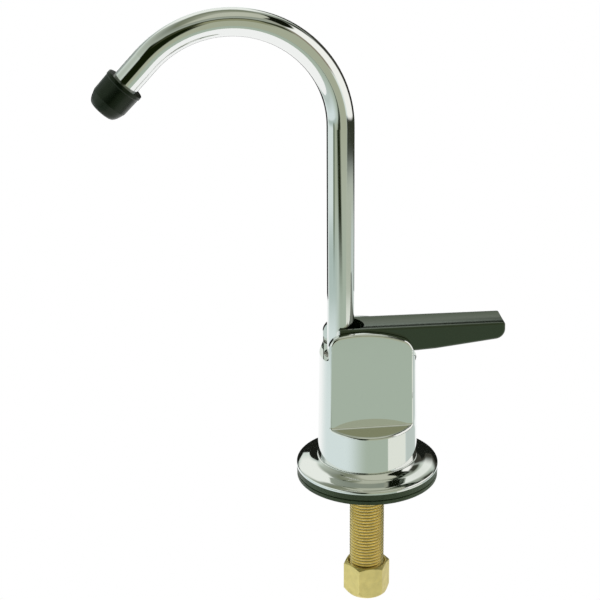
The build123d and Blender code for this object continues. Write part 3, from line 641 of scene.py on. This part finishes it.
class TAP_OT_shank(bpy.types.Operator):
    """Cuts the shank's thread as a real helix over its whole bored tube"""
    bl_idname = "tap.shank"
    bl_label = "Threaded Shank"

    def execute(self, context):
        sizes = context.scene.tap_sizes
        low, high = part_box("shank")
        crest = (high.x - low.x) / 2
        pitch = sizes.thread_pitch
        root = crest - sizes.thread_depth
        start = low.z - pitch

        # One tooth's profile, drawn upwards from its root
        tooth = (
            (root, 0),
            (root, ROOT_SHARE),
            (crest, ROOT_SHARE + FLANK_SHARE),
            (crest, ROOT_SHARE + FLANK_SHARE + CREST_SHARE),
            (root, 1),
        )
        outline = [(radius, start + share * pitch) for radius, share in tooth]
        piece = draw_line("threaded_shank", outline)
        bpy.ops.object.mode_set(mode="OBJECT")

        screw = piece.modifiers.new("helix", "SCREW")
        screw.axis = "Z"
        screw.angle = math.tau
        screw.screw_offset = pitch
        screw.iterations = math.ceil((high.z - low.z) / pitch) + 2
        screw.steps = THREAD_STEPS
        screw.render_steps = THREAD_STEPS
        bpy.ops.object.modifier_apply(modifier=screw.name)

        bpy.ops.object.mode_set(mode="EDIT")
        weld(THREAD_WELD)
        for height, keep_above in ((low.z, True), (high.z, False)):
            bpy.ops.mesh.select_all(action="SELECT")
            bpy.ops.mesh.bisect(
                plane_co=(0, 0, height), plane_no=(0, 0, 1),
                clear_inner=keep_above, clear_outer=not keep_above,
            )
        self.bore(piece, low.z, high.z)
        bpy.ops.mesh.select_all(action="SELECT")
        bpy.ops.mesh.normals_make_consistent(inside=False)
        # The thread's roots get painted shade that fades out halfway up to the crest
        metal = brass(
            "machined_thread_brass", context.scene.tap_finishes.thread,
            rough=(0.28, 0.42), mark_mm=0.3, shaded_root_radii=(root, (root + crest) / 2),
        )
        settle(piece, metal, "shank", "base")
        bpy.ops.object.shade_smooth_by_angle(angle=SMOOTH_ANGLE)
        return {"FINISHED"}

    # The inside: the ferrule's cone, the tube socket and the waterway, joined to both ends
    def bore(self, piece, bottom, top):
        bpy.ops.mesh.select_all(action="DESELECT")
        bpy.ops.mesh.primitive_circle_add(
            vertices=BORE_STEPS, radius=CONE_MOUTH_R, location=(0, 0, bottom),
        )
        for radius, previous, upwards in (
            (SOCKET_R, CONE_MOUTH_R, CONE_DEPTH),
            (SOCKET_R, SOCKET_R, SOCKET_DEPTH - CONE_DEPTH),
            (WATERWAY_R, SOCKET_R, 0),
            (WATERWAY_R, WATERWAY_R, top - bottom - SOCKET_DEPTH),
        ):
            bpy.ops.mesh.extrude_edges_move(TRANSFORM_OT_translate={"value": (0, 0, upwards)})
            share = radius / previous
            bpy.ops.transform.resize(value=(share, share, 1), center_override=(0, 0, 0))
        for height in (bottom, top):
            mesh = bmesh.from_edit_mesh(piece.data)
            for edge in mesh.edges:
                level = all(abs(vert.co.z - height) < WELD for vert in edge.verts)
                edge.select_set(level and edge.is_boundary)
            bmesh.update_edit_mesh(piece.data)
            bpy.ops.mesh.bridge_edge_loops()


# The way to a place round the tap, at angles in radians from the front and the level
def way_to(azimuth, elevation):
    return Vector((
        math.sin(azimuth) * math.cos(elevation),
        -math.cos(azimuth) * math.cos(elevation),
        math.sin(elevation),
    ))


# Stands a camera or a lamp where it looks at the tap
def stand(thing, azimuth, elevation, distance, roll=0.0):
    away = way_to(azimuth, elevation)
    turn = away.to_track_quat("Z", "Y").to_matrix().to_4x4()
    place = Matrix.Translation(AIM + away * distance)
    thing.matrix_world = place @ turn @ Matrix.Rotation(roll, 4, "Z")


class TAP_OT_studio(bpy.types.Operator):
    """Sets the camera, the lights, the surroundings and the floor"""
    bl_idname = "tap.studio"
    bl_label = "Studio"

    def execute(self, context):
        self.place_camera(context)
        self.light(context)
        self.surround(context)
        self.set_card(context)
        self.lay_floor(context)
        return {"FINISHED"}

    def place_camera(self, context):
        data = bpy.data.cameras.new("camera")
        data.lens = LENS_MM
        data.sensor_width = SENSOR_MM
        data.clip_start = CAMERA_NEAR
        data.clip_end = CAMERA_FAR
        camera = bpy.data.objects.new("camera", data)
        context.scene.collection.objects.link(camera)
        stand(camera, CAMERA_AZIMUTH, CAMERA_ELEVATION, CAMERA_DISTANCE, CAMERA_ROLL)
        context.scene.camera = camera

    def light(self, context):
        for name, azimuth, elevation, size, power in LAMPS:
            data = bpy.data.lights.new(name, "AREA")
            data.shape = "SQUARE"
            data.size = size
            data.energy = power
            lamp = bpy.data.objects.new(name, data)
            context.scene.collection.objects.link(lamp)
            stand(lamp, math.radians(azimuth), math.radians(elevation), LAMP_DISTANCE)
            lamp.visible_glossy = False
            lamp.visible_camera = False

    # The studio's walls as the tap reflects them, and plain white for the camera
    def surround(self, context):
        world = bpy.data.worlds.new("studio")
        context.scene.world = world
        world.use_nodes = True
        tree = world.node_tree
        tree.nodes.clear()
        output = add_node(tree, "ShaderNodeOutputWorld")
        way = add_node(tree, "ShaderNodeTexCoord").outputs["Generated"]
        parts = add_node(tree, "ShaderNodeSeparateXYZ", links={"Vector": way})
        front = add_node(
            tree, "ShaderNodeMath", settings={"operation": "MULTIPLY"}, values={1: -1.0},
            links={0: parts.outputs["Y"]},
        )
        azimuth = self.degrees(tree, add_node(
            tree, "ShaderNodeMath", settings={"operation": "ARCTAN2"},
            links={0: parts.outputs["X"], 1: front.outputs[0]},
        ).outputs[0])
        elevation = self.degrees(tree, add_node(
            tree, "ShaderNodeMath", settings={"operation": "ARCSINE"},
            links={0: parts.outputs["Z"]},
        ).outputs[0])
        share = add_node(
            tree, "ShaderNodeMapRange",
            values={"From Min": -90.0, "From Max": 90.0, "To Min": 0.0, "To Max": 1.0},
            links={"Value": elevation},
        ).outputs["Result"]
        ramp = add_node(tree, "ShaderNodeValToRGB", links={"Fac": share})
        stops = ramp.color_ramp.elements
        while len(stops) < len(SKY_RAMP):
            stops.new(0.5)
        for stop, (degrees, colour) in zip(stops, SKY_RAMP):
            stop.position = (degrees + 90) / 180
            stop.color = rgba(colour)
        colour = ramp.outputs["Color"]
        for name, across, up, soft, tint, lean, flare in PANELS:
            slanted = self.slant(tree, azimuth, elevation, (across, up), lean)
            inside = self.window(tree, (slanted, elevation), (across, up), soft, flare)
            mix = add_node(
                tree, "ShaderNodeMix", settings={"data_type": "RGBA", "label": name},
                links={"Factor": inside, "A": colour},
            )
            mix.inputs["B"].default_value = rgba(tint)
            colour = mix.outputs["Result"]
        seen = add_node(
            tree, "ShaderNodeBackground", values={"Strength": 1.0}, links={"Color": colour},
        )
        plain = add_node(tree, "ShaderNodeBackground", values={"Color": WHITE, "Strength": 1.0})
        path = add_node(tree, "ShaderNodeLightPath")
        mixed = add_node(tree, "ShaderNodeMixShader", links={"Fac": path.outputs["Is Camera Ray"]})
        tree.links.new(seen.outputs[0], mixed.inputs[1])
        tree.links.new(plain.outputs[0], mixed.inputs[2])
        tree.links.new(mixed.outputs[0], output.inputs["Surface"])

    def degrees(self, tree, radians):
        return add_node(
            tree, "ShaderNodeMath", settings={"operation": "DEGREES"}, links={0: radians},
        ).outputs[0]

    # Azimuth from a panel's middle, which leans across as the elevation rises
    def slant(self, tree, azimuth, elevation, ranges, lean):
        across, up = ranges
        shift = add_node(
            tree, "ShaderNodeMath", settings={"operation": "MULTIPLY_ADD"},
            values={1: lean, 2: sum(across) / 2 - lean * sum(up) / 2}, links={0: elevation},
        )
        off = add_node(
            tree, "ShaderNodeMath", settings={"operation": "SUBTRACT"},
            links={0: azimuth, 1: shift.outputs[0]},
        )
        return add_node(
            tree, "ShaderNodeMath", settings={"operation": "WRAP"}, values={1: 180.0, 2: -180.0},
            links={0: off.outputs[0]},
        ).outputs[0]

    # 1 inside a panel, falling softly to 0 round it
    def window(self, tree, angles, ranges, soft, flare):
        slanted, elevation = angles
        across, up = ranges
        side = add_node(
            tree, "ShaderNodeMath", settings={"operation": "ABSOLUTE"}, links={0: slanted},
        )
        height = add_node(
            tree, "ShaderNodeMath", settings={"operation": "SUBTRACT"},
            values={1: sum(up) / 2}, links={0: elevation},
        )
        reach = add_node(
            tree, "ShaderNodeMath", settings={"operation": "MULTIPLY_ADD"},
            values={1: -flare}, links={0: height.outputs[0], 2: side.outputs[0]},
        )
        level = add_node(
            tree, "ShaderNodeMath", settings={"operation": "ABSOLUTE"},
            links={0: height.outputs[0]},
        )
        edges = [
            add_node(
                tree, "ShaderNodeMapRange", settings={"interpolation_type": "SMOOTHSTEP"},
                values={
                    "From Min": (high - low - width) / 2,
                    "From Max": (high - low + width) / 2,
                    "To Min": 1.0,
                    "To Max": 0.0,
                },
                links={"Value": distance.outputs[0]},
            ).outputs["Result"]
            for distance, (low, high), width in ((reach, across, soft[0]), (level, up, soft[1]))
        ]
        return add_node(
            tree, "ShaderNodeMath", settings={"operation": "MULTIPLY"},
            links={0: edges[0], 1: edges[1]},
        ).outputs[0]

    # Matt black card: a dull sheet that draws the dark bands in the chrome and lights nothing
    def set_card(self, context):
        material, tree, output, _ = new_material("matt_black_card")
        card_stock = add_node(
            tree, "ShaderNodeBsdfPrincipled",
            values={"Base Color": rgba(CARD_BLACK), "Roughness": PAPER_ROUGH},
        )
        tree.links.new(card_stock.outputs[0], output.inputs["Surface"])

        bpy.ops.object.select_all(action="DESELECT")
        bpy.ops.mesh.primitive_cylinder_add(
            vertices=CARD_STEPS, radius=CARD_R, depth=CARD_HIGH - CARD_LOW,
            end_fill_type="NOTHING", location=(0, 0, (CARD_LOW + CARD_HIGH) / 2),
        )
        card = context.object
        card.name = "rear_flag"
        facing = way_to(math.radians(sum(CARD_ACROSS) / 2), 0)
        half = math.radians((CARD_ACROSS[1] - CARD_ACROSS[0]) / 2)
        bpy.ops.object.mode_set(mode="EDIT")
        mesh = bmesh.from_edit_mesh(card.data)
        for face in mesh.faces:
            middle = face.calc_center_median()
            face.select_set(Vector((middle.x, middle.y, 0)).angle(facing) > half)
        bmesh.update_edit_mesh(card.data)
        bpy.ops.mesh.delete(type="FACE")
        bpy.ops.object.mode_set(mode="OBJECT")
        card.data.materials.append(material)
        card.visible_camera = False
        card.visible_diffuse = False
        card.visible_shadow = False

    # Matt white paper: pale and even, and plain white to the camera and in reflections
    def lay_floor(self, context):
        material, tree, output, _ = new_material("matt_white_paper")
        colour = shade(context.scene.tap_finishes.floor)
        paper = add_node(
            tree, "ShaderNodeBsdfPrincipled",
            values={"Base Color": colour, "Roughness": PAPER_ROUGH},
        )
        plain = add_node(tree, "ShaderNodeEmission", values={"Color": WHITE, "Strength": 1.0})
        path = add_node(tree, "ShaderNodeLightPath")
        mirrored = add_node(
            tree, "ShaderNodeMath", settings={"operation": "MAXIMUM"},
            links={0: path.outputs["Is Camera Ray"], 1: path.outputs["Is Glossy Ray"]},
        )
        mixed = add_node(tree, "ShaderNodeMixShader", links={"Fac": mirrored.outputs[0]})
        tree.links.new(paper.outputs[0], mixed.inputs[1])
        tree.links.new(plain.outputs[0], mixed.inputs[2])
        tree.links.new(mixed.outputs[0], output.inputs["Surface"])

        bpy.ops.object.select_all(action="DESELECT")
        bpy.ops.mesh.primitive_circle_add(
            vertices=FLOOR_STEPS, radius=FLOOR_R, fill_type="NGON", location=(0, 0, FLOOR_LEVEL),
        )
        floor = context.object
        floor.name = "studio_floor"
        floor.data.materials.append(material)


OPERATORS = (
    TAP_OT_studio,
    TAP_OT_chrome,
    TAP_OT_rubber,
    TAP_OT_lever,
    TAP_OT_brass,
    TAP_OT_inner,
    TAP_OT_shank,
)


class TAP_PT_panel(bpy.types.Panel):
    """Lists the steps that dress the tap"""
    bl_idname = "TAP_PT_panel"
    bl_label = "Drinking Water Tap"
    bl_space_type = "VIEW_3D"
    bl_region_type = "UI"
    bl_category = "Tap"

    def draw(self, context):
        for group in (context.scene.tap_sizes, context.scene.tap_finishes):
            for name in group.__annotations__:
                self.layout.prop(group, name)
        for operator in OPERATORS:
            self.layout.operator(operator.bl_idname)


CLASSES = (TapSizes, TapFinishes, *OPERATORS, TAP_PT_panel)


def register():
    for cls in CLASSES:
        bpy.utils.register_class(cls)
    bpy.types.Scene.tap_sizes = bpy.props.PointerProperty(type=TapSizes)
    bpy.types.Scene.tap_finishes = bpy.props.PointerProperty(type=TapFinishes)


def unregister():
    del bpy.types.Scene.tap_finishes
    del bpy.types.Scene.tap_sizes
    for cls in reversed(CLASSES):
        bpy.utils.unregister_class(cls)


def main():
    register()
    bpy.context.scene.view_settings.view_transform = "Standard"
    for operator in OPERATORS:
        group, name = operator.bl_idname.split(".")
        getattr(getattr(bpy.ops, group), name)()


if __name__ == "__main__":
    main()
